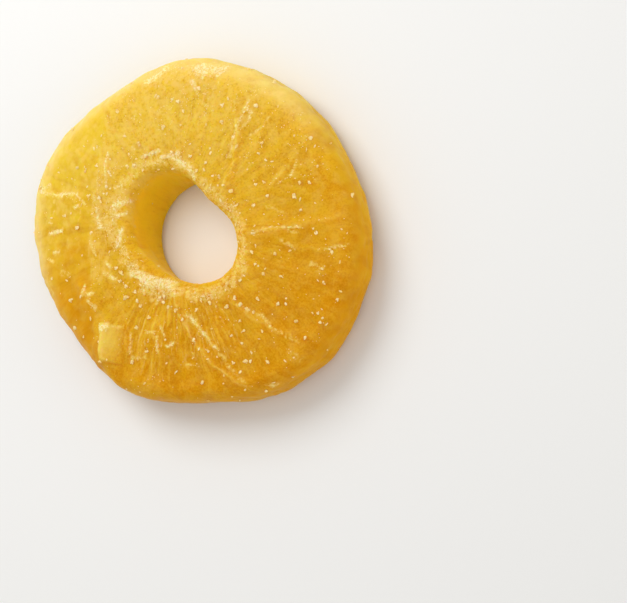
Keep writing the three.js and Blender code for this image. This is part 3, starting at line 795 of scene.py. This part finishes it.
def crystals_on(tree, points, size, roundness, bigness=1.0):
    shape = add_node(tree, "GeometryNodeMeshIcoSphere", {"Radius": 1.0, "Subdivisions": roundness})
    one = add_node(tree, "GeometryNodeInputID")
    turned = add_node(tree, "FunctionNodeRandomValue", {0: (-1, -1, 0), 1: (1, 1, math.tau), "ID": one,
                                                        "Seed": size["Seed"]}, data_type="FLOAT_VECTOR")
    tilts = add_node(tree, "ShaderNodeCombineXYZ", {0: size["Tilt"], 1: size["Tilt"], 2: 1.0})
    turned = add_node(tree, "ShaderNodeVectorMath", {0: turned, 1: tilts}, operation="MULTIPLY")
    greatest = add_node(tree, "ShaderNodeCombineXYZ", {0: size["Half Length"], 1: size["Half Width"],
                                                       2: size["Half Thickness"]})
    least = add_node(tree, "ShaderNodeVectorMath", {0: greatest, 3: size["Least Share"]}, operation="SCALE")
    grown = add_node(tree, "FunctionNodeRandomValue", {0: least, 1: greatest, "ID": one,
                                                       "Seed": size["Seed"]}, data_type="FLOAT_VECTOR")
    grown = add_node(tree, "ShaderNodeVectorMath", {0: grown, 3: bigness}, operation="SCALE")
    stood = add_node(tree, "GeometryNodeInstanceOnPoints", {
        "Points": points, "Instance": shape, "Rotation": turned, "Scale": grown,
    })
    real = add_node(tree, "GeometryNodeRealizeInstances", {"Geometry": stood})
    at = add_node(tree, "GeometryNodeInputPosition")
    scale = add_node(tree, "ShaderNodeMath", {0: BUMPS_ACROSS, 1: size["Half Width"]}, operation="DIVIDE")
    ragged = add_node(tree, "ShaderNodeTexNoise", {"Vector": at, "Scale": scale, "Detail": 1.0})
    ragged = add_node(tree, "ShaderNodeVectorMath", {0: ragged.outputs["Color"], 1: (0.5, 0.5, 0.5)},
                      operation="SUBTRACT")
    far = add_node(tree, "ShaderNodeMath", {0: size["Half Width"], 1: BUMPS_REACH}, operation="MULTIPLY")
    ragged = add_node(tree, "ShaderNodeVectorMath", {0: ragged, 3: far}, operation="SCALE")
    broken = add_node(tree, "GeometryNodeSetPosition", {"Geometry": real, "Offset": ragged})
    coated = add_node(tree, "GeometryNodeSetMaterial", {"Geometry": broken, "Material": size["Sugar"]})
    add_node(tree, "NodeGroupOutput", {"Geometry": coated})


def sugar_piece(name, mesh, tree, sizes):
    piece = bpy.data.objects.new(name, mesh)
    bpy.context.scene.collection.objects.link(piece)
    shape_by_tree(piece, tree, sizes)
    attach(piece, "root")
    return piece


# Fine grains and coarser flecks, sown over the flesh as thickly as its marks say
grain_sizes = {
    "Density": 7.0e6,
    "Drift Size": 2.6 * MM,
    "Half Length": 0.2 * MM,
    "Half Width": 0.16 * MM,
    "Half Thickness": 0.14 * MM,
    "Least Share": 0.4,
    "Tilt": 3.0,
    "Seed": 11,
    "Sugar": sugar_material,
}
SUNK_SHARE = 0.35
tree, size = geometry_tree("sown_grains", grain_sizes)
position = add_node(tree, "GeometryNodeInputPosition")
scale = add_node(tree, "ShaderNodeMath", {0: 1.0, 1: size["Drift Size"]}, operation="DIVIDE")
drifts = add_node(tree, "ShaderNodeTexNoise", {"Vector": position, "W": size["Seed"], "Scale": scale,
                                               "Detail": 2.0}, noise_dimensions="4D")
# the grains gather in drifts, and between the drifts hardly any lie
drifts = add_node(tree, "ShaderNodeMapRange", {"Value": drifts, "From Min": 0.48, "From Max": 0.66,
                                               "To Min": 0.05, "To Max": 2.4})
sugared = add_node(tree, "GeometryNodeInputNamedAttribute", {"Name": "sugar"}, data_type="FLOAT")
density = add_node(tree, "ShaderNodeMath", {0: size["Density"], 1: sugared.outputs["Attribute"]},
                   operation="MULTIPLY")
density = add_node(tree, "ShaderNodeMath", {0: density, 1: drifts}, operation="MULTIPLY")
sown = add_node(tree, "GeometryNodeDistributePointsOnFaces", {
    "Mesh": size["Geometry"], "Density": density, "Seed": size["Seed"],
}, distribute_method="RANDOM")
depth = add_node(tree, "ShaderNodeMath", {0: size["Half Thickness"], 1: -SUNK_SHARE}, operation="MULTIPLY")
sunk = add_node(tree, "ShaderNodeVectorMath", {0: sown.outputs["Normal"], 3: depth}, operation="SCALE")
sown = add_node(tree, "GeometryNodeSetPosition", {"Geometry": sown.outputs["Points"], "Offset": sunk})
crystals_on(tree, sown, size, 1)
sugar_piece("sugar_grains", candied_flesh.data.copy(), tree, grain_sizes)

fleck_sizes = {
    "Apart": 1.3 * MM,
    "Density": 4.0e5,
    "Half Length": 0.5 * MM,
    "Half Width": 0.24 * MM,
    "Half Thickness": 0.2 * MM,
    "Least Share": 0.3,
    "Tilt": 0.4,
    "Seed": 5,
    "Sugar": sugar_material,
}
tree, size = geometry_tree("sown_flecks", fleck_sizes)
flecked = add_node(tree, "GeometryNodeInputNamedAttribute", {"Name": "fleck"}, data_type="FLOAT")
sown = add_node(tree, "GeometryNodeDistributePointsOnFaces", {
    "Mesh": size["Geometry"], "Distance Min": size["Apart"], "Density Max": size["Density"],
    "Density Factor": flecked.outputs["Attribute"], "Seed": size["Seed"],
}, distribute_method="POISSON")
crystals_on(tree, sown.outputs["Points"], size, 2)
sugar_piece("sugar_flecks", candied_flesh.data.copy(), tree, fleck_sizes)

# Lumps: the same places and sizes as on the solid, each a knot of crystals
LUMP = {"least": 0.5, "greatest": 1.0}
LUMPS = {"crust": 46, "face": 52, "rim": 16, "seed": 41}
CRUST_BAND = {"start": 0.3, "narrow": 1.6, "broader": 4.4, "narrow_towards": 20}
FACE_LUMP_CLEAR = 6
SLOPE_LUMP_SHARE = 0.3
UNEVEN_SPACING = 0.8
DRAW_STEP = (1664525, 1013904223)
DRAW_RANGE = 2 ** 32


def draws_from(state):
    while True:
        state = (state * DRAW_STEP[0] + DRAW_STEP[1]) % DRAW_RANGE
        yield state / DRAW_RANGE


def lump_places(draw):
    for index in range(LUMPS["crust"]):
        angle = math.tau * (index + UNEVEN_SPACING * next(draw)) / LUMPS["crust"]
        turned_away = (1 - math.cos(angle - math.radians(CRUST_BAND["narrow_towards"]))) / 2
        broad = CRUST_BAND["narrow"] + CRUST_BAND["broader"] * turned_away
        yield angle, HOLE_RADIUS + LIP["wide"] + CRUST_BAND["start"] + broad * next(draw), THICKNESS
    nearest = HOLE_RADIUS + FACE_LUMP_CLEAR
    farthest = OUTER_RADIUS - SHOULDER["wide"]
    # each place is a golden angle on from the last, so no two come close
    for index in range(LUMPS["face"]):
        angle = index * math.pi * (3 - math.sqrt(5)) + UNEVEN_SPACING * next(draw)
        share = (index + next(draw)) / LUMPS["face"]
        radius = math.sqrt(nearest ** 2 + (farthest ** 2 - nearest ** 2) * share)
        if -radius * math.cos(angle) <= SLOPE["start"] or next(draw) < SLOPE_LUMP_SHARE:
            yield angle, radius, THICKNESS
    for index in range(LUMPS["rim"]):
        angle = math.tau * (index + UNEVEN_SPACING * next(draw)) / LUMPS["rim"]
        turn = math.pi / 2 * next(draw)
        radius = OUTER_RADIUS - SHOULDER["wide"] * (1 - math.cos(turn))
        yield angle, radius, THICKNESS - SHOULDER["high"] * (1 - math.sin(turn))


draw = draws_from(LUMPS["seed"])
places = [flesh_point(*place) for place in lump_places(draw)]
reaches = []
for _ in places:
    spans = [LUMP["least"] + (LUMP["greatest"] - LUMP["least"]) * next(draw) for _ in range(3)]
    reaches.append(sum(spans) / 3 * MM)
    # the solid draws two turns for each lump here
    for _ in range(2):
        next(draw)
# and the largest single flecks, each a small knot too: column and row in the photograph
FLECKS = [(324, 283), (267, 196), (300, 183), (315, 203), (301, 210), (254, 181), (247, 219), (256, 246),
          (265, 269), (313, 228), (217, 357), (233, 363), (250, 361), (240, 372), (240, 321), (243, 331),
          (232, 336), (242, 343), (246, 309), (257, 299), (286, 304), (296, 322), (318, 313), (320, 322),
          (305, 338), (337, 300), (263, 274), (172, 99), (59, 173), (77, 168), (135, 292), (144, 294),
          (163, 302), (168, 307), (227, 284), (136, 328), (120, 282)]
FLECK_REACH = {"least": 0.45, "greatest": 0.75}
for fleck in FLECKS:
    fleck_x, fleck_y = seen_at(*fleck)
    height = face_height(math.atan2(fleck_y, fleck_x), math.hypot(fleck_x, fleck_y))
    places.append(np.array([fleck_x, fleck_y, height]))
    fleck_reach = FLECK_REACH["least"] + (FLECK_REACH["greatest"] - FLECK_REACH["least"]) * next(draw)
    reaches.append(fleck_reach * MM)
lump_mesh = bpy.data.meshes.new("lump_places")
lump_mesh.from_pydata(((np.array(places) + to_packed) * MM).tolist(), [], [])
lump_mesh.attributes.new("reach", "FLOAT", "POINT").data.foreach_set("value", reaches)

lump_sizes = {
    "Crystals": 5,
    "Spread": 0.34,
    "Half Length": 0.55 * MM,
    "Half Width": 0.4 * MM,
    "Half Thickness": 0.28 * MM,
    "Least Share": 0.45,
    "Tilt": 0.6,
    "Seed": 3,
    "Sugar": sugar_material,
}
tree, size = geometry_tree("knotted_lumps", lump_sizes)
reach = add_node(tree, "GeometryNodeInputNamedAttribute", {"Name": "reach"}, data_type="FLOAT")
reach = reach.outputs["Attribute"]
many = add_node(tree, "GeometryNodeDuplicateElements", {"Geometry": size["Geometry"],
                                                        "Amount": size["Crystals"]}, domain="POINT")
index = add_node(tree, "GeometryNodeInputIndex")
KNOT_HEIGHT = 0.3
aside = add_node(tree, "FunctionNodeRandomValue", {
    0: (-1, -1, -KNOT_HEIGHT), 1: (1, 1, KNOT_HEIGHT), "ID": index, "Seed": size["Seed"],
}, data_type="FLOAT_VECTOR")
spread = add_node(tree, "ShaderNodeMath", {0: reach, 1: size["Spread"]}, operation="MULTIPLY")
aside = add_node(tree, "ShaderNodeVectorMath", {0: aside, 3: spread}, operation="SCALE")
knotted = add_node(tree, "GeometryNodeSetPosition", {"Geometry": many, "Offset": aside})
bigness = add_node(tree, "ShaderNodeMath", {0: reach, 1: 1 / (LUMP["greatest"] * MM)}, operation="MULTIPLY")
crystals_on(tree, knotted, size, 1, bigness)
sugar_piece("sugar_lumps", lump_mesh, tree, lump_sizes)


# The floor, the light and the camera
# A plain pale table top in a white room, a large soft window light from the upper left and a weak fill light.
# The camera looks down on the lying ring as steeply as the photograph looks at its cut face.

SENSOR = 36.0
FLOOR_HALF = 2.0
TABLE_WHITE = "#f2f1ee"
TABLE_ROUGHNESS = 0.8
ROOM_LIGHT = 0.63

floor_mesh = bpy.data.meshes.new("floor")
floor_corners = [(-FLOOR_HALF, -FLOOR_HALF, 0), (FLOOR_HALF, -FLOOR_HALF, 0), (FLOOR_HALF, FLOOR_HALF, 0),
                 (-FLOOR_HALF, FLOOR_HALF, 0)]
floor_mesh.from_pydata(floor_corners, [], [(0, 1, 2, 3)])
floor = bpy.data.objects.new("floor", floor_mesh)
bpy.context.scene.collection.objects.link(floor)
table_top = bpy.data.materials.new("pale_table_top")
table_top.use_nodes = True
table_shader = table_top.node_tree.nodes["Principled BSDF"]
table_shader.inputs["Base Color"].default_value = linear(TABLE_WHITE)
table_shader.inputs["Roughness"].default_value = TABLE_ROUGHNESS
floor_mesh.materials.append(table_top)

camera_data = bpy.data.cameras.new("camera")
camera_data.sensor_width = SENSOR
camera_data.lens = SENSOR * focal_pixels / PICTURE[0]
camera_data.clip_start = 0.01
camera = bpy.data.objects.new("camera", camera_data)
bpy.context.scene.collection.objects.link(camera)
camera.matrix_world = Matrix.Translation((stand + Vector(to_packed)) * MM) @ camera_turn.to_4x4()
bpy.context.scene.camera = camera


def area_light(name, direction, distance, diameter, watts):
    data = bpy.data.lights.new(name, "AREA")
    data.shape = "DISK"
    data.size = diameter
    data.energy = watts
    lamp = bpy.data.objects.new(name, data)
    towards = (camera_axes @ Vector(direction)).normalized()
    facing = towards.to_track_quat("Z", "Y").to_matrix().to_4x4()
    lamp.matrix_world = Matrix.Translation(towards * distance) @ facing
    bpy.context.scene.collection.objects.link(lamp)


area_light("window", direction=(-0.7, 0.63, 0.56), distance=0.45, diameter=0.3, watts=1.04)
area_light("fill", direction=(0.9, -0.1, 0.6), distance=1.0, diameter=0.8, watts=2.5)
world = bpy.data.worlds.new("studio")
bpy.context.scene.world = world
world.use_nodes = True
world.node_tree.nodes["Background"].inputs["Color"].default_value = (1, 1, 1, 1)
world.node_tree.nodes["Background"].inputs["Strength"].default_value = ROOM_LIGHT
bpy.context.scene.view_settings.view_transform = "Standard"
